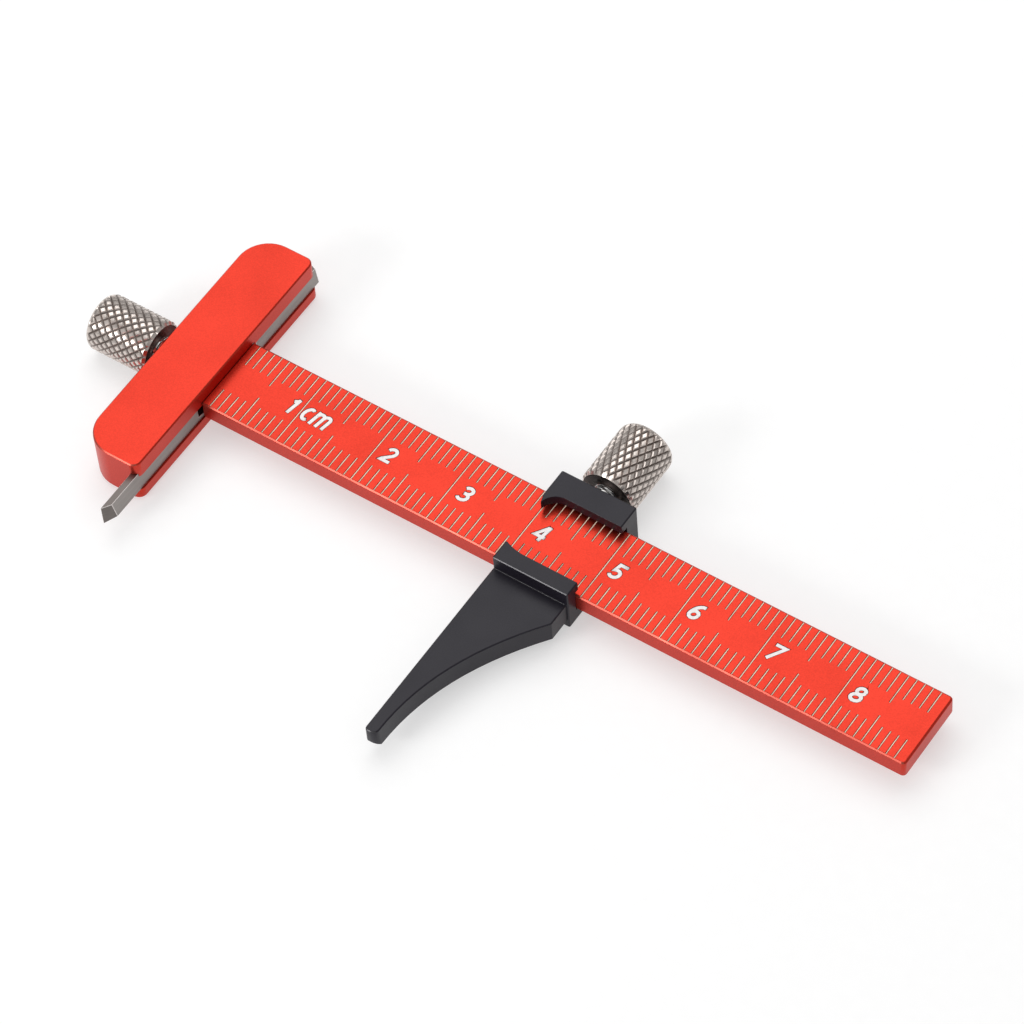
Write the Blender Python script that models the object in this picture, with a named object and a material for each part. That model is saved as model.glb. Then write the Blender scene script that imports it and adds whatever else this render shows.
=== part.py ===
"""Marking gauge: a graduated rule with a fixed head, a scriber bar and a sliding fence.

The origin is on the head's front face, where the scale reads zero: in the middle of the
rule's width, on the band below the rule that bears on a board's edge. +X runs along the
rule to its free end, +Y across it towards the fence's thumbscrew, and +Z out of the scale
face. Lengths below are in millimetres; the scene is in metres.
"""

import math

import bmesh
import bpy
from mathutils import Matrix, Vector

MM = 0.001
PAST = 1.0  # how far a cutter stands out of the surface that it opens
OVERLAP = 0.1  # how far two cutters that make one opening run into each other

# Rule
RULE_END = 90.4
RULE_WIDTH = 10.0
RULE_THICK = 2.5
SCALE_Z = 3.25
MID_Z = SCALE_Z - RULE_THICK / 2
RULE_CORNER = 0.5
RULE_CHAMFER = 0.2
RULE_FIT = 0.03

# Head: centred on the rule's thickness. A slot along its front face holds the scriber bar
# behind a lip, and the rule's end is let in under that lip.
HEAD_DEPTH = 7.76
HEAD_HALF = 16.95
HEAD_HEIGHT = 6.0
HEAD_BACK_RADIUS = 3.8
HEAD_FRONT_RADIUS = 1.0
HEAD_CHAMFER = 0.15
LIP = 0.17
LIP_EDGE = 2.85
SLOT_FLOOR = 0.5
SLOT_ROOF = 3.35
SLOT_BACK = -1.02
DRILLED_PAST = 0.5  # how far the holes from the back run on past the front face

# Scriber bar
BAR_THICK = 0.78
BAR_TOP = 3.3
BAR_BOTTOM = 0.55
BAR_FRONT = -0.2
BAR_BACK = BAR_FRONT - BAR_THICK
BAR_POINT = -22.45
BAR_TAIL = 17.65
BAR_GRIND = (1.6, 1.05)  # length of the ground tip along the bottom and along the top
BAR_EDGE = 0.06
BAR_TIP_LEAN = 0.02
BAR_TAIL_GRIND = 0.25
BAR_TAIL_LEAN = 0.35
BAR_SLOT = (-5.6, 5.5)
BAR_SLOT_HEIGHT = 1.6

# Screws from the back of the head into the end of the rule
SCREW_Y = 3.4
SCREW_RADIUS = 0.68
SCREW_TIP = (0.3, 0.25)  # length and depth of the cone at the tip
SCREW_HEAD_RADIUS = 1.15
SCREW_HEAD = 1.1
SCREW_HEAD_CHAMFER = 0.12
SCREW_REACH = 4.6
SCREW_SEAT = 1.5
SCREW_SEAT_GAP = 0.02
SCREW_HOLE_PAST = 0.3
SCREW_THREAD_FIT = 0.02
SCREW_CLEARANCE = 0.06
SOCKET_RADIUS = 0.52
SOCKET_DEPTH = 0.6

# Fence: a channel round the rule, with an arm on the near side
FENCE_LEFT = 39.8
FENCE_RIGHT = 49.45
FENCE_NEAR = -6.45
FENCE_FAR = 7.15
FENCE_TOP = 5.0
FENCE_BOTTOM = -1.0
FENCE_CHAMFER = 0.12
FENCE_PLAY = 0.06

# Opening between the fence's two lips, which curl towards each other at the left end
LIP_UNDER = 3.75
NEAR_LIP = -4.45
NEAR_CURL = (2.9, 6.4, 24)  # where it starts from the left end, its radius and its turn
NEAR_CURL_END = 0.6
FAR_LIP = 4.1
FAR_CURL = (2.45, 2.07, 82)
FAR_CURL_END = 0.65

# Arm: straight on its reference edge, and a curve from the shoulder to the blunt tip
ARM_TOP = 3.05
ARM_BOTTOM = 0.15
ARM_ROOT = 0.6  # how far the arm runs into the fence's near wall
ARM_INSET = 0.25
ARM_SHOULDER = -9.3
ARM_CURVE = 2.05
ARM_REACH = -30.75
ARM_TIP_WIDTH = 1.5
ARM_TIP_RADIUS = 0.75
ARM_EDGE_RADIUS = 0.45
ARM_TIP_BEVEL = 0.9

# Thumbscrews
KNOB_RADIUS = 3.4
KNOB_LENGTH = 8.3
KNOB_ROUND = (0.95, 0.7)  # length and depth of the rounding at the outer end
KNOB_CHAMFER = 0.3
STUD_RADIUS = 1.22
STUD_CHAMFER = 0.25
STUD_FIT = 0.05
STUD_TIP_GAP = 0.02
STUD_IN_KNOB = 5.5
KNOB_BORE_FIT = 0.02
KNOB_BORE_PAST = 0.1
HEAD_KNOB_FACE = -8.9
HEAD_KNOB_Y = -0.6
FENCE_KNOB_FACE = 8.6
FENCE_KNOB_X = 44.5

# Number of flat sides or steps that stand for each curve
KNOB_SIDES = 64
STUD_SIDES = 32
SCREW_SIDES = 24
SOCKET_SIDES = 6
CORNER_STEPS = 10
SMALL_CORNER_STEPS = 4
ARM_STEPS = 14
CURL_STEPS = 8
END_STEPS = 5

# Angles above which an edge counts as one, in degrees
CHAMFERED = 40
ARM_CHAMFERED = 50
SHARP = 32

# Colour, roughness and metallic value of each finish
FINISHES = {
    "red_anodised": ((0.75, 0.055, 0.03), 0.38, 0.75),
    "black_anodised": ((0.045, 0.045, 0.052), 0.42, 0.4),
    "tool_steel": ((0.42, 0.41, 0.40), 0.38, 1.0),
    "nickel": ((0.72, 0.70, 0.67), 0.25, 1.0),
    "zinc_steel": ((0.55, 0.55, 0.56), 0.35, 1.0),
}


def clear_scene():
    for obj in list(bpy.data.objects):
        bpy.data.objects.remove(obj, do_unlink=True)


def finish(obj, kind):
    material = bpy.data.materials.new(obj.name)
    material.use_nodes = True
    shader = material.node_tree.nodes["Principled BSDF"]
    colour, roughness, metallic = FINISHES[kind]
    shader.inputs["Base Color"].default_value = (*colour, 1.0)
    shader.inputs["Roughness"].default_value = roughness
    shader.inputs["Metallic"].default_value = metallic
    obj.data.materials.append(material)


def mesh_object(name, mesh_data, origin):
    """An object of a finished bmesh, its origin moved to a point given in millimetres."""
    mesh = bpy.data.meshes.new(name)
    bmesh.ops.recalc_face_normals(mesh_data, faces=mesh_data.faces)
    bmesh.ops.translate(mesh_data, verts=mesh_data.verts, vec=-Vector(origin) * MM)
    mesh_data.to_mesh(mesh)
    mesh_data.free()
    obj = bpy.data.objects.new(name, mesh)
    obj.location = Vector(origin) * MM
    bpy.context.scene.collection.objects.link(obj)
    return obj


def prism(name, outline, low, high, origin=(0, 0, 0)):
    """A solid of an (x, y) outline between two heights."""
    shape = bmesh.new()
    corners = [shape.verts.new((x * MM, y * MM, low * MM)) for x, y in outline]
    face = shape.faces.new(corners)
    lifted = bmesh.ops.extrude_face_region(shape, geom=[face])["geom"]
    up = [item for item in lifted if isinstance(item, bmesh.types.BMVert)]
    bmesh.ops.translate(shape, verts=up, vec=(0, 0, (high - low) * MM))
    return mesh_object(name, shape, origin)


def box(name, low, high, origin=(0, 0, 0)):
    (x0, y0, z0), (x1, y1, z1) = low, high
    return prism(name, [(x0, y0), (x1, y0), (x1, y1), (x0, y1)], z0, z1, origin)


def lengthwise(name, outline, low, high):
    """A solid of a (y, z) outline between two places along the rule."""
    shape = bmesh.new()
    ends = []
    for x in (low, high):
        corners = [shape.verts.new((x * MM, y * MM, z * MM)) for y, z in outline]
        shape.faces.new(corners)
        ends.append(corners)
    for step in range(len(outline)):
        ahead = (step + 1) % len(outline)
        shape.faces.new([ends[0][step], ends[0][ahead], ends[1][ahead], ends[1][step]])
    return mesh_object(name, shape, (low, 0, 0))


def turned(name, profile, start, axis, sides):
    """A solid of revolution: (distance, radius) steps from a start point along an axis."""
    shape = bmesh.new()
    turn = Vector((0, 0, 1)).rotation_difference(Vector(axis)).to_matrix().to_4x4()
    place = Matrix.Translation(Vector(start) * MM) @ turn
    rings = []
    for along, radius in profile:
        if radius == 0:
            rings.append([shape.verts.new(place @ Vector((0, 0, along * MM)))])
            continue
        ring = []
        for step in range(sides):
            angle = 2 * math.pi * step / sides
            spot = Vector((radius * math.cos(angle), radius * math.sin(angle), along)) * MM
            ring.append(shape.verts.new(place @ spot))
        rings.append(ring)
    for first, second in zip(rings, rings[1:]):
        for step in range(sides):
            ahead = (step + 1) % sides
            quad = [first[step % len(first)], first[ahead % len(first)]]
            quad += [second[ahead % len(second)], second[step % len(second)]]
            shape.faces.new(list(dict.fromkeys(quad)))
    return mesh_object(name, shape, start)


def rounded(corners, steps):
    """An outline whose corners, each (x, y, radius), are replaced with arcs."""
    points = []
    for index, (x, y, radius) in enumerate(corners):
        here = Vector((x, y))
        back = (Vector(corners[index - 1][:2]) - here).normalized()
        ahead = (Vector(corners[(index + 1) % len(corners)][:2]) - here).normalized()
        if radius == 0:
            points.append((x, y))
            continue
        half = back.angle(ahead) / 2
        centre = here + (back + ahead).normalized() * radius / math.sin(half)
        first = here + back * radius / math.tan(half) - centre
        last = here + ahead * radius / math.tan(half) - centre
        sweep = first.angle_signed(last)
        for step in range(steps + 1):
            turned_by = Matrix.Rotation(-sweep * step / steps, 2)
            points.append(tuple(centre + turned_by @ first))
    return points


def chamfer(obj, width, angle=CHAMFERED):
    modifier = obj.modifiers.new("chamfer", "BEVEL")
    modifier.width = width * MM
    modifier.segments = 1
    modifier.limit_method = "ANGLE"
    modifier.angle_limit = math.radians(angle)


def combine(obj, tool, operation="DIFFERENCE"):
    modifier = obj.modifiers.new(tool.name, "BOOLEAN")
    modifier.operation = operation
    modifier.object = tool
    modifier.solver = "EXACT"
    tool.hide_render = True
    tool.display_type = "WIRE"


def smooth(obj):
    obj.data.shade_smooth()
    obj.data.set_sharp_from_angle(angle=math.radians(SHARP))


def drilled(obj, name, start, axis, length, radius, sides=STUD_SIDES):
    """Cuts a round hole into an object."""
    profile = [(0, 0), (0, radius), (length, radius), (length, 0)]
    combine(obj, turned(name, profile, start, axis, sides))


def build_rule():
    half = RULE_WIDTH / 2
    start = -LIP + RULE_FIT
    corners = [
        (start, -half, 0),
        (RULE_END, -half, RULE_CORNER),
        (RULE_END, half, RULE_CORNER),
        (start, half, 0),
    ]
    outline = rounded(corners, SMALL_CORNER_STEPS)
    rule = prism("rule", outline, SCALE_Z - RULE_THICK, SCALE_Z)
    chamfer(rule, RULE_CHAMFER)
    length = PAST + SCREW_REACH + SCREW_HOLE_PAST
    radius = SCREW_RADIUS + SCREW_THREAD_FIT
    for side in (-1, 1):
        mouth = (-PAST, side * SCREW_Y, MID_Z)
        drilled(rule, f"rule_hole_{side}", mouth, (1, 0, 0), length, radius, SCREW_SIDES)
    finish(rule, "red_anodised")


def build_head():
    corners = [
        (-HEAD_DEPTH, -HEAD_HALF, HEAD_BACK_RADIUS),
        (0, -HEAD_HALF, HEAD_FRONT_RADIUS),
        (0, HEAD_HALF, HEAD_FRONT_RADIUS),
        (-HEAD_DEPTH, HEAD_HALF, HEAD_BACK_RADIUS),
    ]
    outline = rounded(corners, CORNER_STEPS)
    head = prism("head_block", outline, MID_Z - HEAD_HEIGHT / 2, MID_Z + HEAD_HEIGHT / 2)
    chamfer(head, HEAD_CHAMFER)
    reach = HEAD_HALF + PAST
    slot = box("slot", (SLOT_BACK, -reach, SLOT_FLOOR), (-LIP, reach, SLOT_ROOF))
    mouth = box("mouth", (-LIP - OVERLAP, -reach, SLOT_FLOOR), (PAST, reach, LIP_EDGE))
    combine(slot, mouth, "UNION")
    combine(head, slot)
    seat_half = RULE_WIDTH / 2 + RULE_FIT
    seat = box(
        "rule_seat",
        (-LIP - OVERLAP, -seat_half, SCALE_Z - RULE_THICK - RULE_FIT),
        (PAST, seat_half, SCALE_Z + RULE_FIT),
    )
    combine(head, seat)
    back = -HEAD_DEPTH - PAST
    through = HEAD_DEPTH + PAST + DRILLED_PAST
    mouth = (back, HEAD_KNOB_Y, MID_Z)
    drilled(head, "stud_hole", mouth, (1, 0, 0), through, STUD_RADIUS + STUD_FIT)
    hole_radius = SCREW_RADIUS + SCREW_CLEARANCE
    seat_radius = SCREW_HEAD_RADIUS + SCREW_CLEARANCE
    seat_depth = PAST + SCREW_SEAT
    for side in (-1, 1):
        mouth = (back, side * SCREW_Y, MID_Z)
        name = f"screw_hole_{side}"
        drilled(head, name, mouth, (1, 0, 0), through, hole_radius, SCREW_SIDES)
        drilled(head, f"screw_seat_{side}", mouth, (1, 0, 0), seat_depth, seat_radius)
    finish(head, "red_anodised")
    smooth(head)


def build_screws():
    """Socket screws, each with its head in a seat at the back of the head."""
    under_head = -HEAD_DEPTH + SCREW_SEAT - SCREW_SEAT_GAP
    end = SCREW_HEAD + SCREW_REACH - under_head
    edge = SCREW_HEAD_RADIUS
    cone, taper = SCREW_TIP
    screw_profile = [
        (0, 0),
        (0, edge - SCREW_HEAD_CHAMFER),
        (SCREW_HEAD_CHAMFER, edge),
        (SCREW_HEAD, edge),
        (SCREW_HEAD, SCREW_RADIUS),
        (end - cone, SCREW_RADIUS),
        (end, SCREW_RADIUS - taper),
        (end, 0),
    ]
    socket_profile = [
        (-PAST, 0),
        (-PAST, SOCKET_RADIUS),
        (SOCKET_DEPTH, SOCKET_RADIUS),
        (SOCKET_DEPTH, 0),
    ]
    for number, side in ((1, -1), (2, 1)):
        start = (under_head - SCREW_HEAD, side * SCREW_Y, MID_Z)
        screw = turned(f"rule_screw_{number}", screw_profile, start, (1, 0, 0), STUD_SIDES)
        socket = turned(f"socket_{number}", socket_profile, start, (1, 0, 0), SOCKET_SIDES)
        combine(screw, socket)
        finish(screw, "zinc_steel")
        smooth(screw)


def bar_corners(shape, z, grind, lean, tail):
    """The bar's corners at one height: its ground tip first, then its tail."""
    edge = BAR_BACK + BAR_EDGE
    spots = [
        (BAR_FRONT, BAR_POINT + grind),
        (edge, BAR_POINT + lean),
        (BAR_BACK, BAR_POINT + lean + BAR_EDGE),
        (BAR_BACK, tail - BAR_EDGE),
        (edge, tail),
        (BAR_FRONT, tail - BAR_TAIL_GRIND),
    ]
    return [shape.verts.new(Vector((x, y, z)) * MM) for x, y in spots]


def build_bar():
    """A flat steel bar, ground from the front face to an upright edge at its near end."""
    low_grind, high_grind = BAR_GRIND
    shape = bmesh.new()
    lower = bar_corners(shape, BAR_BOTTOM, low_grind, BAR_TIP_LEAN, BAR_TAIL)
    upper = bar_corners(shape, BAR_TOP, high_grind, 0, BAR_TAIL - BAR_TAIL_LEAN)
    shape.faces.new(lower)
    shape.faces.new(upper)
    for step in range(len(lower)):
        ahead = (step + 1) % len(lower)
        shape.faces.new([lower[step], lower[ahead], upper[step]])
        shape.faces.new([lower[ahead], upper[ahead], upper[step]])
    middle = (BAR_FRONT - BAR_THICK / 2, 0, MID_Z)
    bar = mesh_object("scriber_bar", shape, middle)
    radius = BAR_SLOT_HEIGHT / 2
    slot_start, slot_end = BAR_SLOT
    slot = box(
        "bar_slot",
        (BAR_BACK - PAST, slot_start, MID_Z - radius),
        (BAR_FRONT + PAST, slot_end, MID_Z + radius),
    )
    combine(bar, slot)
    finish(bar, "tool_steel")


def quarter(centre, radius, first, steps):
    """A quarter turn of points, clockwise from an angle given in degrees."""
    points = []
    for step in range(steps + 1):
        angle = math.radians(first - 90 * step / steps)
        x = centre[0] + radius * math.cos(angle)
        points.append((x, centre[1] + radius * math.sin(angle)))
    return points


def arm_outline():
    """The arm seen from above: a straight reference edge and a curve down to a blunt tip."""
    tip_right = FENCE_LEFT + ARM_TIP_WIDTH
    tip_y = ARM_REACH + ARM_TIP_RADIUS
    right = FENCE_RIGHT - ARM_INSET
    root = FENCE_NEAR + ARM_ROOT
    points = [(FENCE_LEFT, root), (right, root)]
    for step in range(ARM_STEPS):
        down = step / ARM_STEPS
        x = tip_right + (right - tip_right) * (1 - down) ** ARM_CURVE
        points.append((x, ARM_SHOULDER + (tip_y - ARM_SHOULDER) * down))
    points += quarter((tip_right - ARM_TIP_RADIUS, tip_y), ARM_TIP_RADIUS, 0, END_STEPS)
    edge_centre = (FENCE_LEFT + ARM_EDGE_RADIUS, ARM_REACH + ARM_EDGE_RADIUS)
    points += quarter(edge_centre, ARM_EDGE_RADIUS, -90, END_STEPS)
    return points


def window_outline():
    """The opening between the fence's two lips."""
    left = FENCE_LEFT - PAST
    right = FENCE_RIGHT + PAST
    points = [(right, NEAR_LIP)]
    start, radius, turn = NEAR_CURL
    for step in range(CURL_STEPS + 1):
        angle = math.radians(turn * step / CURL_STEPS)
        x = FENCE_LEFT + start - radius * math.sin(angle)
        points.append((x, NEAR_LIP + radius * (1 - math.cos(angle))))
    points.append((left, NEAR_LIP + NEAR_CURL_END))
    points.append((left, FAR_LIP - FAR_CURL_END))
    points.append((FENCE_LEFT, FAR_LIP - FAR_CURL_END))
    start, radius, turn = FAR_CURL
    for step in range(CURL_STEPS + 1):
        angle = math.radians(90 + turn * (1 - step / CURL_STEPS))
        x = FENCE_LEFT + start + radius * math.cos(angle)
        points.append((x, FAR_LIP - radius + radius * math.sin(angle)))
    points.append((right, FAR_LIP))
    return points


def build_fence():
    body = box(
        "fence_body",
        (FENCE_LEFT, FENCE_NEAR, FENCE_BOTTOM),
        (FENCE_RIGHT, FENCE_FAR, FENCE_TOP),
        (FENCE_KNOB_X, 0, MID_Z),
    )
    chamfer(body, FENCE_CHAMFER)
    arm = prism("arm", arm_outline(), ARM_BOTTOM, ARM_TOP)
    chamfer(arm, FENCE_CHAMFER, ARM_CHAMFERED)
    near, low = ARM_REACH - PAST, ARM_BOTTOM - PAST
    side = ARM_TIP_BEVEL + 2 * PAST
    wedge = [(near, low), (near + side, low), (near, low + side)]
    combine(arm, lengthwise("tip_bevel", wedge, FENCE_LEFT - PAST, FENCE_RIGHT))
    combine(body, arm, "UNION")
    play = RULE_WIDTH / 2 + FENCE_PLAY
    channel = box(
        "rule_channel",
        (FENCE_LEFT - PAST, -play, SCALE_Z - RULE_THICK - FENCE_PLAY),
        (FENCE_RIGHT + PAST, play, LIP_UNDER),
    )
    combine(body, channel)
    window = prism("window", window_outline(), LIP_UNDER - OVERLAP, FENCE_TOP + PAST)
    combine(body, window)
    start = (FENCE_KNOB_X, play - PAST, MID_Z)
    length = FENCE_FAR - play + 2 * PAST
    drilled(body, "fence_stud_hole", start, (0, 1, 0), length, STUD_RADIUS + STUD_FIT)
    finish(body, "black_anodised")


def build_thumbscrew(prefix, tip, face, axis):
    """A knurled knob on a threaded stud. The axis points out of the hole, from tip to knob."""
    total = (Vector(face) - Vector(tip)).length + STUD_IN_KNOB
    stud_profile = [
        (0, 0),
        (0, STUD_RADIUS - STUD_CHAMFER),
        (STUD_CHAMFER, STUD_RADIUS),
        (total - STUD_CHAMFER, STUD_RADIUS),
        (total, STUD_RADIUS - STUD_CHAMFER),
        (total, 0),
    ]
    stud = turned(f"{prefix}_stud", stud_profile, tip, axis, STUD_SIDES)
    finish(stud, "zinc_steel")
    smooth(stud)
    bore = STUD_RADIUS + KNOB_BORE_FIT
    depth = STUD_IN_KNOB + KNOB_BORE_PAST
    knob_profile = [
        (depth, 0),
        (depth, bore),
        (0, bore),
        (0, KNOB_RADIUS - KNOB_CHAMFER),
        (KNOB_CHAMFER, KNOB_RADIUS),
    ]
    deep, narrow = KNOB_ROUND
    for step in range(END_STEPS + 1):
        angle = math.pi / 2 * step / END_STEPS
        along = KNOB_LENGTH - deep * (1 - math.sin(angle))
        knob_profile.append((along, KNOB_RADIUS - narrow * (1 - math.cos(angle))))
    knob_profile.append((KNOB_LENGTH, 0))
    knob = turned(f"{prefix}_knob", knob_profile, face, axis, KNOB_SIDES)
    finish(knob, "nickel")
    smooth(knob)


clear_scene()
build_rule()
build_head()
build_screws()
build_bar()
build_fence()
build_thumbscrew(
    "head",
    (BAR_BACK - STUD_TIP_GAP, HEAD_KNOB_Y, MID_Z),
    (HEAD_KNOB_FACE, HEAD_KNOB_Y, MID_Z),
    (-1, 0, 0),
)
build_thumbscrew(
    "fence",
    (FENCE_KNOB_X, RULE_WIDTH / 2 + STUD_TIP_GAP, MID_Z),
    (FENCE_KNOB_X, FENCE_KNOB_FACE, MID_Z),
    (0, 1, 0),
)
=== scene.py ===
"""Looks of the marking gauge: anodised red rule and head, black fence, steel bar and knobs.

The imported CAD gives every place. The rule gains its engraved scale, the knobs their
diamond knurl and the studs their thread; the other parts keep the CAD's shape with
rounded edges. Lengths are in millimetres here and in metres in the scene.
"""

import math

import bmesh
import bpy
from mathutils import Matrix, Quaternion, Vector


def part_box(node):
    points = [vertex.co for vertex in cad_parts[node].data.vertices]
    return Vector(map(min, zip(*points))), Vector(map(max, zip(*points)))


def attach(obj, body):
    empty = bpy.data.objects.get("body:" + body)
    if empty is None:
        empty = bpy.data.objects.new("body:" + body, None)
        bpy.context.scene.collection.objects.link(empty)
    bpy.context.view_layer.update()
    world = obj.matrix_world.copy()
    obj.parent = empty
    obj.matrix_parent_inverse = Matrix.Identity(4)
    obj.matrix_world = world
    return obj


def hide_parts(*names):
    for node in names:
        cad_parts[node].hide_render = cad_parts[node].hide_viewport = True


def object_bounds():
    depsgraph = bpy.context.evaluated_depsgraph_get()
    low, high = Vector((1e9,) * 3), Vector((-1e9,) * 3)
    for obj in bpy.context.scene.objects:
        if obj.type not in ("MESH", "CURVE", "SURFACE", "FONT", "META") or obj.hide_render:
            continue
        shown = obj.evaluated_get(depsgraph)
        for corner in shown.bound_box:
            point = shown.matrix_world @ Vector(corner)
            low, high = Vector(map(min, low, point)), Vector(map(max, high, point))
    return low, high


MM = 0.001

# Cleaning a CAD mesh: distance between points that are one, and degrees between faces that are one
SAME_POINT = 0.001
SAME_FACE = 0.5

# Camera: what it looks at, from where, and how far it is tilted about its own axis
TARGET = (37.5, 0.62, 3.25)
DISTANCE = 549.65
AZIMUTH = -51.52
ELEVATION = 53.78
ROLL = -5.64
LENS = 178.98
SENSOR = 36.0
CLIP_METRES = (0.01, 20)

# Studio: place, size and watts of each light, what the lights aim at, and the surroundings
SOFTBOX = ((-140, 200, 520), (560, 560), 1.56)
STRIP = ((-200, -480, 270), (220, 110), 1.1)
LIGHT_TARGET = (35, 0, 0)
HORIZON = (0.45, (0.6, 0.6, 0.6))
CEILING = (0.8, (0.95, 0.95, 0.95))
WORLD_STRENGTH = 0.65
FLOOR_HALF = 1500
PAPER_DARK = (0.51, 0.51, 0.51)
PAPER_LIGHT = (0.53, 0.53, 0.53)
PAPER_FIBRE = 1.5
PAPER_ROUGHNESS = 0.9
PAPER_GLOW = 0.5

# Metal and paint: sizes of their grain, and strength and height of their bump
SPECKLE = 0.16
CLOUD = 6
ANODISED_BUMP = (0.35, 0.012)
STAIN = 2.2
MACHINED_BUMP = (0.3, 0.01)
PAINT_PATCH = 0.3
PAINT_BUMP = (0.3, 0.01)
PAINT_ROUGHNESS = (0.55, 0.7)
NOISE_MIDDLE = (0.3, 0.7)

# Scale on the rule
LAST_TICK = 89
TICK_EDGE = 4.8
NEAR_TICKS = (2.15, 1.05)
FAR_TICKS = (1.87, 0.85)
TICK_LINE = 0.11
TICK_FLANK = 0.06
TICK_DEPTH = 0.03
FULL_TICK = 5.4

# Figures: how they are drawn and engraved, and where they stand
FIGURE_HEIGHT = 2.2
FIGURE_FOOT = -1.1
FIGURE_SLANT = 0.19
STROKE = 0.4
OUTLINE = 0.07
POCKET_DEPTH = 0.07
PAINT_BELOW = 0.02
SHARPEST_BEND = 0.5
FIRST_FIGURES = (("1", 8.1), ("c", 10.05), ("m", 11.5))
AFTER_MARK = 0.6

# Rounded edges, and how much a face leans both ways before it counts as slanted
RULE_EDGE = 0.05
HEAD_EDGE = 0.06
FENCE_EDGE = 0.05
SCREW_EDGE = 0.03
BAR_EDGE = 0.07
BAR_EDGE_ANGLE = 15
SLANTED = 0.45
# How far in from the rule's near side the painted edge highlight reaches
RULE_NEAR_STRIP = 0.5

# Fence: where the top of its arm meets its near wall
ARM_TOP = 3.05
NEAR_WALL = -6.45
ARM_FILLET = 0.2
FILLET_STEPS = 4
CLOSE = 0.01

# Knobs: radius, length, depth and width of the rounded end, chamfer, and the bore for the stud
KNOB_RADIUS = 3.4
KNOB_LENGTH = 8.3
KNOB_ROUND = (0.95, 0.7)
KNOB_CHAMFER = 0.3
BORE_RADIUS = 1.24
BORE_DEPTH = 5.6
BORE_CHAMFER = 0.15

# Turning marks on a knob's face and end: depth, width and spacing, and the space round them
FACE_MARKS = (0.02, 0.07, 0.16)
FACE_MARGIN = 0.1
END_MARKS = (0.015, 0.09, 0.2)
END_MARGIN = 0.15
CENTRE_RADIUS = 0.3
SLIVER = 0.02

# Knurl: starts and axial pitch of each knob's, the shape of its grooves, and how deep or how far back
# a face must lie to get painted shade
HEAD_KNURL = (19, 1.14)
FENCE_KNURL = (25, 1.64)
KNURL_DEPTH = 0.19
KNURL_STEPS = 8
KNURL_FLANK = 2
GROOVE_SHARE = 0.45
FACES_BACK = 0.8

# Thread of the studs: its crest and root are shares of half a pitch
THREAD_PITCH = 0.45
THREAD_DEPTH = 0.13
THREAD_CREST = 0.1875
THREAD_ROOT = 0.8125
THREAD_STEPS = 6
THREAD_COLUMNS = 28
STUD_CHAMFER = 0.25


# --- materials -------------------------------------------------------------------------


class Nodes:
    """A material's node tree, with one short call for each node."""

    def __init__(self, name):
        self.material = bpy.data.materials.new(name)
        self.material.use_nodes = True
        self.tree = self.material.node_tree
        self.shader = self.tree.nodes["Principled BSDF"]
        self.place = self.add("ShaderNodeTexCoord").outputs["Object"]

    def add(self, kind, **settings):
        node = self.tree.nodes.new(kind)
        for name, value in settings.items():
            setattr(node, name, value)
        return node

    def link(self, source, target):
        self.tree.links.new(source, target)

    def stretched(self, scale):
        """The object's coordinates stretched, for grain that runs one way."""
        mapping = self.add("ShaderNodeMapping")
        mapping.inputs["Scale"].default_value = scale
        self.link(self.place, mapping.inputs["Vector"])
        return mapping.outputs["Vector"]

    def noise(self, size, detail, place=None):
        """Noise whose features are about this many millimetres across, from 0 to 1."""
        node = self.add("ShaderNodeTexNoise")
        node.inputs["Scale"].default_value = 1 / (size * MM)
        node.inputs["Detail"].default_value = detail
        self.link(place or self.place, node.inputs["Vector"])
        return node.outputs["Fac"]

    def ramp(self, value, low, high):
        """A colour that runs from one (position, colour) stop to another."""
        node = self.add("ShaderNodeValToRGB")
        for element, (position, colour) in zip(node.color_ramp.elements, (low, high)):
            element.position = position
            element.color = (*colour, 1.0)
        self.link(value, node.inputs["Fac"])
        return node.outputs["Color"]

    def between(self, value, low, high):
        """The value spread from low to high, its middle range stretched."""
        node = self.add("ShaderNodeMapRange")
        middle_low, middle_high = NOISE_MIDDLE
        node.inputs["From Min"].default_value = middle_low
        node.inputs["From Max"].default_value = middle_high
        node.inputs["To Min"].default_value = low
        node.inputs["To Max"].default_value = high
        self.link(value, node.inputs["Value"])
        return node.outputs["Result"]

    def mixed(self, share, first, second):
        node = self.add("ShaderNodeMix", data_type="RGBA")
        self.link(share, node.inputs["Factor"])
        self.link(first, node.inputs["A"])
        self.link(second, node.inputs["B"])
        return node.outputs["Result"]

    def bump(self, height, strength, depth):
        """Bump of a height in millimetres."""
        node = self.add("ShaderNodeBump")
        node.inputs["Strength"].default_value = strength
        node.inputs["Distance"].default_value = depth * MM
        self.link(height, node.inputs["Height"])
        self.link(node.outputs["Normal"], self.shader.inputs["Normal"])

    def drive(self, name, output):
        """Feeds a node's output into one of the shader's inputs."""
        self.link(output, self.shader.inputs[name])

    def set(self, **values):
        for name, value in values.items():
            self.shader.inputs[name.replace("_", " ")].default_value = value


def tinted(colour, share):
    """The colour made lighter or darker by a share."""
    return tuple(min(1.0, channel * (1 + share)) for channel in colour)


def anodised(name, colour, metallic, roughness, grain=0.06, specular=0.5):
    """Bead-blasted and dyed aluminium: fine even grain, with slow changes in its dye."""
    nodes = Nodes(name)
    speckle = nodes.noise(SPECKLE, detail=4)
    clouds = nodes.noise(CLOUD, detail=2)
    even = nodes.ramp(
        speckle, (0.32, tinted(colour, -grain)), (0.68, tinted(colour, grain))
    )
    deeper = nodes.ramp(
        speckle, (0.3, tinted(colour, -1.6 * grain)), (0.7, tinted(colour, 0.4 * grain))
    )
    nodes.drive("Base Color", nodes.mixed(clouds, even, deeper))
    nodes.drive("Roughness", nodes.between(clouds, *roughness))
    nodes.bump(speckle, *ANODISED_BUMP)
    nodes.set(Metallic=metallic, Specular_IOR_Level=specular)
    return nodes.material


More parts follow.
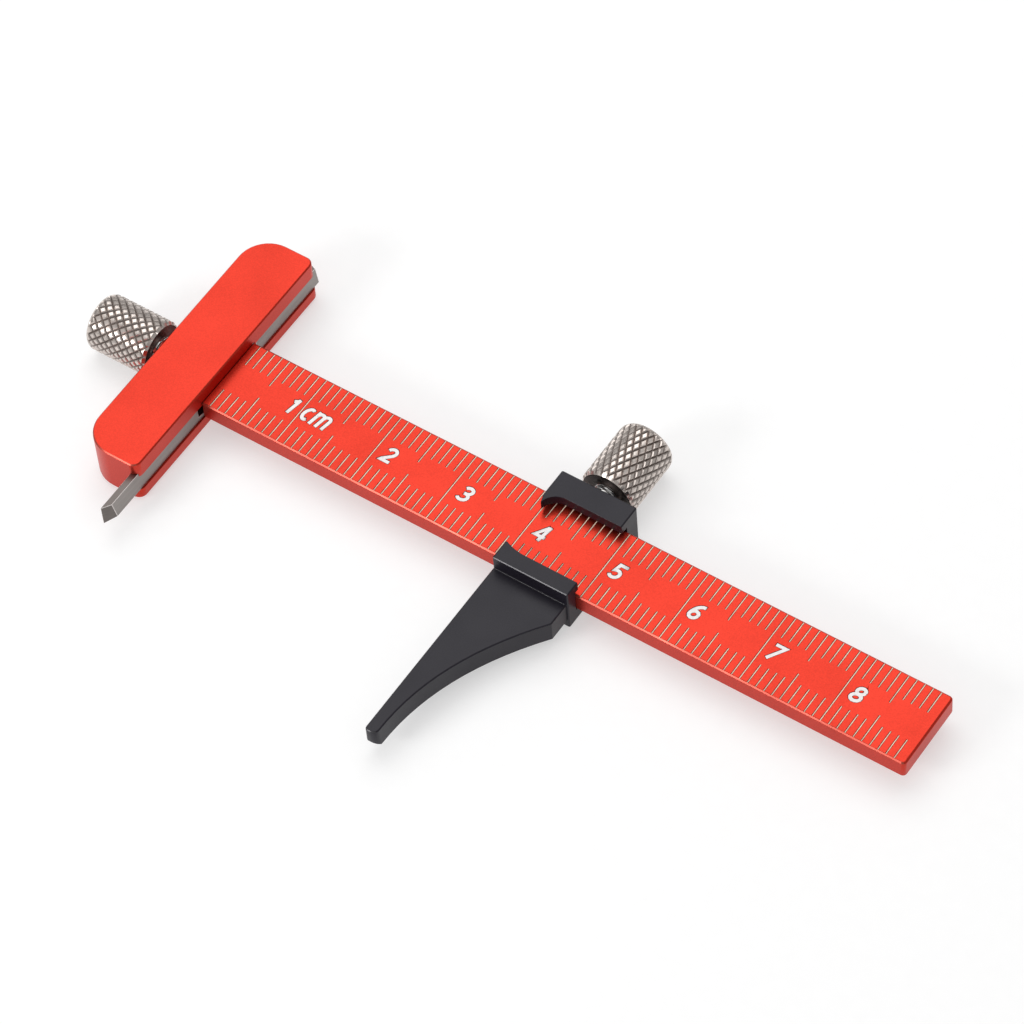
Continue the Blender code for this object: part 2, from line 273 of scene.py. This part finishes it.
def bare_metal(name, colour, roughness, size=0.35, stretch=(1, 1, 1), grain=0.12):
    """Machined metal: grain drawn out along one direction, and light stains."""
    nodes = Nodes(name)
    lines = nodes.noise(size, detail=5, place=nodes.stretched(stretch))
    stains = nodes.noise(STAIN, detail=4)
    clean = nodes.ramp(lines, (0.3, tinted(colour, -grain)), (0.7, tinted(colour, grain)))
    dull = nodes.ramp(lines, (0.3, tinted(colour, -2 * grain)), (0.7, colour))
    nodes.drive("Base Color", nodes.mixed(stains, clean, dull))
    nodes.drive("Roughness", nodes.between(lines, *roughness))
    nodes.bump(lines, *MACHINED_BUMP)
    nodes.set(Metallic=1.0)
    return nodes.material


def paint(name, colour):
    """Paint rubbed into an engraving: slightly patchy."""
    nodes = Nodes(name)
    patches = nodes.noise(PAINT_PATCH, detail=4)
    nodes.drive("Base Color", nodes.ramp(patches, (0.35, tinted(colour, -0.12)), (0.6, colour)))
    nodes.drive("Roughness", nodes.between(patches, *PAINT_ROUGHNESS))
    nodes.bump(patches, *PAINT_BUMP)
    return nodes.material


def paper(name):
    """White paper with a faint fibre, bright enough to look white under the studio's light."""
    nodes = Nodes(name)
    fibres = nodes.noise(PAPER_FIBRE, detail=4)
    nodes.drive("Base Color", nodes.ramp(fibres, (0.2, PAPER_DARK), (0.8, PAPER_LIGHT)))
    nodes.set(
        Roughness=PAPER_ROUGHNESS, Emission_Color=(1, 1, 1, 1), Emission_Strength=PAPER_GLOW
    )
    return nodes.material


# --- shapes ----------------------------------------------------------------------------


def mesh_object(name, shape, materials=()):
    """A new object from a bmesh, which is freed."""
    mesh = bpy.data.meshes.new(name)
    shape.to_mesh(mesh)
    shape.free()
    for material in materials:
        mesh.materials.append(material)
    obj = bpy.data.objects.new(name, mesh)
    bpy.context.scene.collection.objects.link(obj)
    return obj


def clean_copy(node, name, materials):
    """A CAD node's mesh as its flat faces, in a new object with the first material."""
    shape = bmesh.new()
    shape.from_mesh(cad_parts[node].data)
    bmesh.ops.remove_doubles(shape, verts=shape.verts, dist=SAME_POINT * MM)
    bmesh.ops.dissolve_limit(
        shape, angle_limit=math.radians(SAME_FACE), verts=shape.verts, edges=shape.edges
    )
    for face in shape.faces:
        face.material_index = 0
    return mesh_object(name, shape, materials)


def apply_modifiers(obj):
    """Gives the object a mesh of its own with its modifiers in it."""
    graph = bpy.context.evaluated_depsgraph_get()
    mesh = bpy.data.meshes.new_from_object(obj.evaluated_get(graph))
    mesh.name = obj.name
    obj.modifiers.clear()
    obj.data = mesh


def round_edges(obj, width, segments=2, angle=25, material=-1):
    """Bevels every edge sharper than an angle, in the material of its faces or in its own."""
    bevel = obj.modifiers.new("edges", "BEVEL")
    bevel.width = width * MM
    bevel.segments = segments
    bevel.limit_method = "ANGLE"
    bevel.angle_limit = math.radians(angle)
    bevel.use_clamp_overlap = True
    bevel.material = material
    apply_modifiers(obj)


def combine(obj, tool, operation):
    """Cuts another shape out of the object or adds it, and removes the other shape."""
    modifier = obj.modifiers.new("combined", "BOOLEAN")
    modifier.operation = operation
    modifier.object = tool
    modifier.solver = "EXACT"
    modifier.use_self = True
    modifier.material_mode = "TRANSFER"
    apply_modifiers(obj)
    bpy.data.objects.remove(tool, do_unlink=True)


def rub_near_edges(mesh, index, limit=math.inf):
    """Gives the bevels that face up and to the near side a painted highlight: a lighter finish where
    the light catches those edges.
    """
    for face in mesh.polygons:
        slanted = face.normal.y < -SLANTED and face.normal.z > SLANTED
        if slanted and face.center.y < limit:
            face.material_index = index


def smooth(obj, angle=35):
    """Smooth shading over rounded edges, with flat faces kept flat."""
    obj.data.shade_smooth()
    obj.data.set_sharp_from_angle(angle=math.radians(angle))
    weighted = obj.modifiers.new("normals", "WEIGHTED_NORMAL")
    weighted.keep_sharp = True


def put_in_place(obj, node, body):
    """Puts a finished piece in the place of its CAD node."""
    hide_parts(node)
    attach(obj, body)


def ring_of_vertices(shape, centre, directions, radii):
    """One closed row of vertices round a centre, each in its own direction."""
    spots = [centre + outward * radius for outward, radius in zip(directions, radii)]
    return [shape.verts.new(spot * MM) for spot in spots]


def wrapped(name, rings, columns, start, axis, depth_at, reach, flip_at, materials):
    """A closed shape of rings round an axis.

    Each ring is (distance from the start, largest radius). depth_at(turn, distance) says
    how far below the reach the surface lies there, and flip_at(turn, distance) which
    diagonal splits the square that has its middle there.
    """
    across = axis.orthogonal().normalized()
    third = axis.cross(across)
    turns = [column / columns for column in range(columns)]
    angles = [2 * math.pi * turn for turn in turns]
    directions = [across * math.cos(angle) + third * math.sin(angle) for angle in angles]
    shape = bmesh.new()
    rows = []
    for distance, largest in rings:
        radii = [min(largest, reach - depth_at(turn, distance)) for turn in turns]
        rows.append(ring_of_vertices(shape, start + axis * distance, directions, radii))
    for row, (first, second) in enumerate(zip(rows, rows[1:])):
        middle = (rings[row][0] + rings[row + 1][0]) / 2
        for column in range(columns):
            ahead = (column + 1) % columns
            a, b, c, d = first[column], first[ahead], second[ahead], second[column]
            if flip_at((column + 0.5) / columns, middle):
                triangles = ((a, b, d), (b, c, d))
            else:
                triangles = ((a, b, c), (a, c, d))
            for triangle in triangles:
                shape.faces.new(triangle)
    shape.faces.new(rows[0])
    shape.faces.new(rows[-1])
    bmesh.ops.recalc_face_normals(shape, faces=shape.faces)
    return mesh_object(name, shape, materials)


# --- rule ------------------------------------------------------------------------------

# The rule's finishes that come after its red: both paints, the painted shade on groove sides and the
# painted highlight on its near edge
CREAM, GROOVE_SHADE, RULE_EDGE_HIGHLIGHT, WHITE = range(1, 5)


def add_groove(shape, x, near_end, far_end, surface):
    """One tick's groove: painted along its bottom, with painted shade on its flanks."""
    half = TICK_LINE / 2
    wide = half + 2 * TICK_FLANK
    section = [(-wide, TICK_DEPTH), (-half, -TICK_DEPTH), (half, -TICK_DEPTH), (wide, TICK_DEPTH)]
    bottom = 1
    near, far = (
        [shape.verts.new(Vector((x + dx, y, surface + dz)) * MM) for dx, dz in section]
        for y in (near_end, far_end)
    )
    shape.faces.new(near)
    shape.faces.new(far)
    for corner in range(len(section)):
        ahead = (corner + 1) % len(section)
        side = shape.faces.new((near[corner], near[ahead], far[ahead], far[corner]))
        # The flanks carry the groove's painted shade
        side.material_index = CREAM if corner == bottom else GROOVE_SHADE


def tick_cutter(surface, materials):
    """The grooves of the scale: a full line at each centimetre, and ticks along both edges."""
    shape = bmesh.new()
    for millimetre in range(1, LAST_TICK + 1):
        if millimetre % 10 == 0:
            add_groove(shape, millimetre, -FULL_TICK, FULL_TICK, surface)
            continue
        longer = millimetre % 5 == 0
        add_groove(shape, millimetre, -TICK_EDGE, -NEAR_TICKS[longer], surface)
        add_groove(shape, millimetre, FAR_TICKS[longer], TICK_EDGE, surface)
    bmesh.ops.recalc_face_normals(shape, faces=shape.faces)
    return mesh_object("ticks", shape, materials)


def arc(centre, size, first, last, steps=12):
    """Points on an ellipse, between two angles in degrees."""
    points = []
    for step in range(steps + 1):
        angle = math.radians(first + (last - first) * step / steps)
        points.append(
            (centre[0] + size[0] * math.cos(angle), centre[1] + size[1] * math.sin(angle))
        )
    return points


def glyphs():
    """The middle lines of each figure's strokes, upright, from its lower left corner."""
    high = FIGURE_HEIGHT - STROKE / 2
    low = STROKE / 2
    return {
        "1": [[(0.66, 0), (0.66, FIGURE_HEIGHT)], [(0.75, 2.0), (0.2, 1.7)]],
        "2": [
            arc((1.0, 1.5), (0.5, high - 1.5), 165, -25)
            + [(1.33, 1.1), (0.58, low + 0.12), (0.53, low), (1.68, low)]
        ],
        "3": [
            arc((1.04, 1.57), (0.52, high - 1.57), 150, -80) + [(0.81, 1.14)],
            arc((1.02, 0.67), (0.58, 0.67 - low), 85, -155),
        ],
        "4": [
            [(1.2, FIGURE_HEIGHT - 0.1), (0.47, 0.64), (1.75, 0.64)],
            [(1.33, 0), (1.33, FIGURE_HEIGHT)],
        ],
        "5": [
            [(1.4, high), (0.42, high), (0.36, 1.16)]
            + arc((0.68, 0.72), (0.55, 0.72 - low), 105, -155)
        ],
        "6": [
            arc((0.74, 0.68), (0.5, 0.68 - low), 0, 345) + [(1.24, 0.68)],
            arc((1.2, 0.75), (0.96, high - 0.75), 85, 185),
        ],
        "7": [[(0.05, high), (1.27, high), (0.35, 0)]],
        "8": [
            arc((0.9, 1.58), (0.46, high - 1.58), 0, 345) + [(1.36, 1.58)],
            arc((0.9, 0.66), (0.57, 0.66 - low), 0, 345) + [(1.47, 0.66)],
        ],
        "c": [arc((0.72, 1.0), (0.5, 1.0 - low), 55, 305)],
        "m": [
            [(0.2, 0), (0.2, 1.98)],
            [(0.2, 1.3)] + arc((0.62, 1.38), (0.4, 0.4), 160, 0) + [(1.02, 0)],
            [(1.02, 1.3)] + arc((1.44, 1.38), (0.4, 0.4), 160, 0) + [(1.84, 0)],
        ],
    }


def scale_strokes():
    """Every stroke on the rule, slanted and in place, as lists of (x, y)."""
    last_figure = LAST_TICK // 10
    places = list(FIRST_FIGURES)
    places += [(str(figure), figure * 10 + AFTER_MARK) for figure in range(2, last_figure + 1)]
    shapes = glyphs()
    strokes = []
    for name, left in places:
        for stroke in shapes[name]:
            strokes.append([(left + u + FIGURE_SLANT * v, FIGURE_FOOT + v) for u, v in stroke])
    return strokes


def lengthened(points, extra):
    """The line of points with both ends drawn out."""
    ends = []
    for end, before in ((0, 1), (-1, -2)):
        tip = Vector(points[end])
        ends.append(tuple(tip + (tip - Vector(points[before])).normalized() * extra))
    return [ends[0], *points[1:-1], ends[1]]


def add_ribbon(shape, points, width, low, high):
    """A closed band of one width along a line of points, between two heights."""
    points = [Vector(point) for point in points]
    stations = []
    for index, point in enumerate(points):
        steps = []
        if index > 0:
            steps.append((point - points[index - 1]).normalized())
        if index < len(points) - 1:
            steps.append((points[index + 1] - point).normalized())
        along = sum(steps, Vector((0, 0))).normalized()
        side = Vector((-along.y, along.x)) * width / 2
        side /= max(SHARPEST_BEND, along.dot(steps[0]))
        corners = ((point + side, low), (point - side, low))
        corners += ((point - side, high), (point + side, high))
        stations.append([shape.verts.new(Vector((*spot, z)) * MM) for spot, z in corners])
    for first, second in zip(stations, stations[1:]):
        for corner in range(len(first)):
            ahead = (corner + 1) % len(first)
            shape.faces.new((first[corner], first[ahead], second[ahead], second[corner]))
    shape.faces.new(stations[0])
    shape.faces.new(stations[-1])


def figure_solids(name, outline, low, high, materials, index):
    """All the figures as bands between two heights, wider by an outline all round."""
    shape = bmesh.new()
    for stroke in scale_strokes():
        add_ribbon(shape, lengthened(stroke, outline), STROKE + 2 * outline, low, high)
    bmesh.ops.recalc_face_normals(shape, faces=shape.faces)
    for face in shape.faces:
        face.material_index = index
    return mesh_object(name, shape, materials)


def build_rule(materials):
    """The rule with its scale: grooves for the ticks, and pockets filled with the figures' paint; the
    groove and pocket walls carry painted shade.
    """
    low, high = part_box("rule")
    surface = high.z / MM
    rule = clean_copy("rule", "red_rule", materials)
    round_edges(rule, RULE_EDGE)
    # Painted highlight on the near edge
    rub_near_edges(rule.data, RULE_EDGE_HIGHLIGHT, low.y + RULE_NEAR_STRIP * MM)
    combine(rule, tick_cutter(surface, materials), "DIFFERENCE")
    pocket = (surface - POCKET_DEPTH, surface + POCKET_DEPTH)
    # The pockets' walls and each figure's outline carry painted shade
    combine(rule, figure_solids("pockets", OUTLINE, *pocket, materials, GROOVE_SHADE), "DIFFERENCE")
    filling = (surface - 2 * POCKET_DEPTH, surface - PAINT_BELOW)
    combine(rule, figure_solids("paint", 0, *filling, materials, WHITE), "UNION")
    smooth(rule, 30)
    put_in_place(rule, "rule", "gauge")


# --- knobs and studs -------------------------------------------------------------------

# The knob's finishes that come after its nickel: painted shade on the face by the bore, and painted
# shade in the knurl's grooves
FACE_SHADE, KNURL_SHADE = range(1, 3)


def knob_outline(distance):
    """The knob's radius over the knurl: a chamfer at the face and a rounded outer end."""
    deep, narrow = KNOB_ROUND
    if distance < KNOB_CHAMFER:
        return KNOB_RADIUS - KNOB_CHAMFER + distance
    past = distance - (KNOB_LENGTH - deep)
    if past <= 0:
        return KNOB_RADIUS
    return KNOB_RADIUS - narrow * (1 - math.sqrt(max(0.0, 1 - (past / deep) ** 2)))


def bore_and_face_rings():
    """The bore from its bottom to its mouth, then turning marks across the knob's face."""
    rings = [(BORE_DEPTH, CENTRE_RADIUS), (BORE_DEPTH, BORE_RADIUS), (BORE_CHAMFER, BORE_RADIUS)]
    rings.append((0, BORE_RADIUS + BORE_CHAMFER))
    depth, width, spacing = FACE_MARKS
    radius = BORE_RADIUS + 2 * BORE_CHAMFER
    while radius < KNOB_RADIUS - KNOB_CHAMFER - FACE_MARGIN:
        rings += [(depth, radius), (0, radius + width)]
        radius += spacing
    rings += [(0, KNOB_RADIUS - KNOB_CHAMFER), (KNOB_CHAMFER, KNOB_RADIUS)]
    return rings


def side_rings(step):
    """The knurled side, with a ring at every step."""
    count = math.floor((KNOB_LENGTH - KNOB_CHAMFER) / step)
    distances = [KNOB_CHAMFER + row * step for row in range(1, count + 1)]
    return [(spot, knob_outline(spot)) for spot in distances if spot < KNOB_LENGTH - SLIVER]


def end_rings():
    """The knob's outer end, with turning marks towards its centre."""
    rim = KNOB_RADIUS - KNOB_ROUND[1]
    rings = [(KNOB_LENGTH, rim)]
    depth, width, spacing = END_MARKS
    radius = rim - END_MARGIN
    while radius > CENTRE_RADIUS:
        rings += [(KNOB_LENGTH - depth, radius), (KNOB_LENGTH, radius - width)]
        radius -= spacing
    return rings


def knurl(starts, pitch):
    """Depth and diagonal of a diamond knurl: two sets of helical grooves that cross."""
    flank = KNURL_FLANK / KNURL_STEPS

    def from_grooves(turn, distance):
        """How far the nearest groove of each set is, as a share of their spacing."""
        lead = (distance - KNOB_CHAMFER) / pitch
        places = (turn * starts + lead, turn * starts - lead)
        return [abs(place - round(place)) for place in places]

    def depth_at(turn, distance):
        return KNURL_DEPTH * max(0.0, 1 - min(from_grooves(turn, distance)) / flank)

    def flip_at(turn, distance):
        first, second = from_grooves(turn, distance)
        return first < second

    return depth_at, flip_at


def build_knob(name, node, body, face, axis, starts_and_pitch, materials):
    """A knurled knob from its bored face outwards."""
    starts, pitch = starts_and_pitch
    depth_at, flip_at = knurl(starts, pitch)
    rings = bore_and_face_rings() + side_rings(pitch / KNURL_STEPS) + end_rings()
    columns = starts * KNURL_STEPS
    knob = wrapped(
        name, rings, columns, face, axis, depth_at, KNOB_RADIUS, flip_at, materials
    )
    rounded_end = KNOB_LENGTH - KNOB_ROUND[0] / 2
    for polygon in knob.data.polygons:
        spot = polygon.center / MM - face
        distance = spot.dot(axis)
        depth = knob_outline(distance) - (spot - axis * distance).length
        # Faces that look back along the axis get painted shade, and so do the knurl's deep grooves
        if polygon.normal.dot(axis) < -FACES_BACK:
            polygon.material_index = FACE_SHADE
        elif depth > GROOVE_SHARE * KNURL_DEPTH and distance < rounded_end:
            polygon.material_index = KNURL_SHADE
    smooth(knob, 25)
    put_in_place(knob, node, body)


def build_stud(name, node, body, axis, materials):
    """A threaded stud, from its tip to its end inside the knob."""
    low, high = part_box(node)
    middle = (low + high) / 2 / MM
    size = (high - low) / MM
    length = abs(size.dot(axis))
    radius = max(abs(size.dot(axis.orthogonal().normalized())), size.z) / 2
    start = middle - axis * length / 2

    def depth_at(turn, distance):
        phase = (distance / THREAD_PITCH - turn) % 1
        from_crest = 2 * abs(phase - 0.5)
        down = (from_crest - THREAD_CREST) / (THREAD_ROOT - THREAD_CREST)
        return THREAD_DEPTH * min(1.0, max(0.0, down))

    def flip_at(turn, distance):
        return True

    count = math.ceil(length / THREAD_PITCH * THREAD_STEPS)
    rings = []
    for row in range(count + 1):
        distance = length * row / count
        nearest_end = min(distance, length - distance)
        rings.append((distance, radius - max(0.0, STUD_CHAMFER - nearest_end)))
    stud = wrapped(
        name, rings, THREAD_COLUMNS, start, axis, depth_at, radius, flip_at, materials
    )
    smooth(stud, 40)
    put_in_place(stud, node, body)


# --- head, screws, bar and fence -------------------------------------------------------

# The second and third finish of a part that has them: the painted edge highlight of the head and
# fence, the bar's painted shade and painted highlight
EDGE_HIGHLIGHT = 1
BAR_SHADE, BAR_HIGHLIGHT = 1, 2


def build_head(materials):
    head = clean_copy("head_block", "red_head", materials)
    round_edges(head, HEAD_EDGE, segments=3)
    # Painted highlight on edges that face up and to the near side
    rub_near_edges(head.data, EDGE_HIGHLIGHT)
    smooth(head)
    put_in_place(head, "head_block", "gauge")


def build_screw(name, node, materials):
    """One of the two socket screws that hold the rule to the head."""
    screw = clean_copy(node, name, materials)
    round_edges(screw, SCREW_EDGE, segments=3)
    smooth(screw)
    put_in_place(screw, node, "gauge")


def build_bar(materials):
    """The scriber bar: ground on its faces, with painted shade on its narrow sides and a painted
    highlight along its edges.
    """
    bar = clean_copy("scriber_bar", "marking_bar", materials)
    # The top, bottom and ends get painted shade
    for face in bar.data.polygons:
        if abs(face.normal.z) > SLANTED or abs(face.normal.y) > SLANTED / 2:
            face.material_index = BAR_SHADE
    round_edges(bar, BAR_EDGE, angle=BAR_EDGE_ANGLE, material=BAR_HIGHLIGHT)
    smooth(bar)
    put_in_place(bar, "scriber_bar", "bar")


def build_fence(materials):
    """The fence, with a fillet where the arm's top meets the near wall."""
    fence = clean_copy("fence_body", "black_fence", materials)
    weights = fence.data.attributes.new("bevel_weight_edge", "FLOAT", "EDGE")
    for edge in fence.data.edges:
        ends = [fence.data.vertices[index].co / MM for index in edge.vertices]
        if all(abs(end.z - ARM_TOP) + abs(end.y - NEAR_WALL) < CLOSE for end in ends):
            weights.data[edge.index].value = 1
    fillet = fence.modifiers.new("fillet", "BEVEL")
    fillet.width = ARM_FILLET * MM
    fillet.segments = FILLET_STEPS
    fillet.limit_method = "WEIGHT"
    apply_modifiers(fence)
    round_edges(fence, FENCE_EDGE, segments=3)
    # Painted highlight on edges that face up and to the near side
    rub_near_edges(fence.data, EDGE_HIGHLIGHT)
    smooth(fence)
    put_in_place(fence, "fence_body", "fence")


# --- surroundings ----------------------------------------------------------------------


def build_camera():
    azimuth, elevation = math.radians(AZIMUTH), math.radians(ELEVATION)
    flat = math.cos(elevation)
    back = Vector((flat * math.cos(azimuth), flat * math.sin(azimuth), math.sin(elevation)))
    data = bpy.data.cameras.new("camera")
    data.lens = LENS
    data.sensor_width = SENSOR
    data.clip_start, data.clip_end = CLIP_METRES
    camera = bpy.data.objects.new("camera", data)
    camera.location = (Vector(TARGET) + back * DISTANCE) * MM
    roll = Quaternion((0, 0, 1), math.radians(ROLL))
    camera.rotation_mode = "QUATERNION"
    camera.rotation_quaternion = back.to_track_quat("Z", "Y") @ roll
    bpy.context.scene.collection.objects.link(camera)
    bpy.context.scene.camera = camera


def area_light(name, place, size, watts):
    data = bpy.data.lights.new(name, "AREA")
    data.shape = "RECTANGLE"
    data.size, data.size_y = (length * MM for length in size)
    data.energy = watts
    light = bpy.data.objects.new(name, data)
    light.location = Vector(place) * MM
    aim = Vector(place) - Vector(LIGHT_TARGET)
    light.rotation_mode = "QUATERNION"
    light.rotation_quaternion = aim.to_track_quat("Z", "Y")
    bpy.context.scene.collection.objects.link(light)


def build_world():
    """A studio: a bright ceiling that falls off towards a grey horizon."""
    world = bpy.data.worlds.new("studio")
    bpy.context.scene.world = world
    world.use_nodes = True
    tree = world.node_tree
    background = tree.nodes["Background"]
    place = tree.nodes.new("ShaderNodeTexCoord")
    split = tree.nodes.new("ShaderNodeSeparateXYZ")
    ramp = tree.nodes.new("ShaderNodeValToRGB")
    tree.links.new(place.outputs["Generated"], split.inputs["Vector"])
    tree.links.new(split.outputs["Z"], ramp.inputs["Fac"])
    tree.links.new(ramp.outputs["Color"], background.inputs["Color"])
    for element, (position, colour) in zip(ramp.color_ramp.elements, (HORIZON, CEILING)):
        element.position = position
        element.color = (*colour, 1)
    background.inputs["Strength"].default_value = WORLD_STRENGTH


def build_floor(height):
    """A sheet of white paper that runs far past the view, at a height in metres."""
    half = FLOOR_HALF * MM
    shape = bmesh.new()
    corners = [(-half, -half), (half, -half), (half, half), (-half, half)]
    shape.faces.new([shape.verts.new((x, y, height)) for x, y in corners])
    mesh_object("floor", shape, (paper("white_paper"),))


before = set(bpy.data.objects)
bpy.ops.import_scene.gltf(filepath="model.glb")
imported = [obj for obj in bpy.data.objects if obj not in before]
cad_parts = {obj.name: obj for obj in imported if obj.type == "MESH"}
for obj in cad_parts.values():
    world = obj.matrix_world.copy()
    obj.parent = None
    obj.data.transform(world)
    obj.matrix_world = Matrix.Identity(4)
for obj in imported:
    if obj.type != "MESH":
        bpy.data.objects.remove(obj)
cad_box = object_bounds()

red = anodised("red_anodised", (0.57, 0.037, 0.0195), 0.88, (0.33, 0.39), grain=0.1)
# Lighter red painted on edges as a highlight
red_edge_highlight = anodised("red_edge_highlight", (0.50, 0.085, 0.06), 0.8, (0.3, 0.4))
# Dark red painted into grooves and pockets as shade
groove_shade_red = anodised("groove_shade_red", (0.10, 0.003, 0.002), 0.0, (0.6, 0.7), specular=0.1)
black = anodised(
    "black_anodised", (0.012, 0.010, 0.017), 0.0, (0.36, 0.44), grain=0.15, specular=0.29
)
# Lighter black painted on edges as a highlight
black_edge_highlight = anodised("black_edge_highlight", (0.07, 0.068, 0.072), 0.6, (0.3, 0.36))
cream = paint("cream_paint", (1.0, 0.74, 0.56))
white = paint("white_paint", (0.98, 0.94, 0.93))
lengthwise = (1, 0.08, 1)
steel = bare_metal("ground_steel", (0.30, 0.275, 0.26), (0.36, 0.46), stretch=lengthwise)
# Darker steel painted on the bar's narrow sides as shade, and lighter steel on its edges as a
# highlight
bar_shade_steel = bare_metal("bar_shade_steel", (0.17, 0.15, 0.14), (0.4, 0.5), stretch=lengthwise)
bar_highlight_steel = bare_metal("bar_highlight_steel", (0.75, 0.70, 0.68), (0.3, 0.4))
nickel = bare_metal("nickel_plate", (0.68, 0.61, 0.565), (0.22, 0.32), size=0.6)
# Darker metal painted on the knob's face by the bore and in the knurl's grooves as shade
face_shade_metal = bare_metal("knob_face_shade", (0.16, 0.13, 0.12), (0.3, 0.4), size=0.5)
knurl_shade_grey = bare_metal("knurl_groove_shade", (0.30, 0.26, 0.24), (0.35, 0.45), size=0.5)
zinc = bare_metal("zinc_plate", (0.55, 0.54, 0.53), (0.14, 0.22), size=0.5)

build_rule((red, cream, groove_shade_red, red_edge_highlight, white))
build_head((red, red_edge_highlight))
build_fence((black, black_edge_highlight))
build_bar((steel, bar_shade_steel, bar_highlight_steel))
for number in (1, 2):
    build_screw(f"socket_screw_{number}", f"rule_screw_{number}", (zinc,))

knob_finishes = (nickel, face_shade_metal, knurl_shade_grey)
head_axis, fence_axis = Vector((-1, 0, 0)), Vector((0, 1, 0))
low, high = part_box("head_knob")
face = Vector((high.x, (low.y + high.y) / 2, (low.z + high.z) / 2)) / MM
build_knob("knurled_knob_1", "head_knob", "head_grip", face, head_axis, HEAD_KNURL, knob_finishes)
low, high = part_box("fence_knob")
face = Vector(((low.x + high.x) / 2, low.y, (low.z + high.z) / 2)) / MM
build_knob("knurled_knob_2", "fence_knob", "fence_grip", face, fence_axis, FENCE_KNURL, knob_finishes)
build_stud("threaded_stud_1", "head_stud", "head_screw", head_axis, (zinc,))
build_stud("threaded_stud_2", "fence_stud", "fence_screw", fence_axis, (zinc,))

build_camera()
build_world()
build_floor(cad_box[0][2])
area_light("softbox", *SOFTBOX)
area_light("strip", *STRIP)
bpy.context.scene.view_settings.view_transform = "Standard"
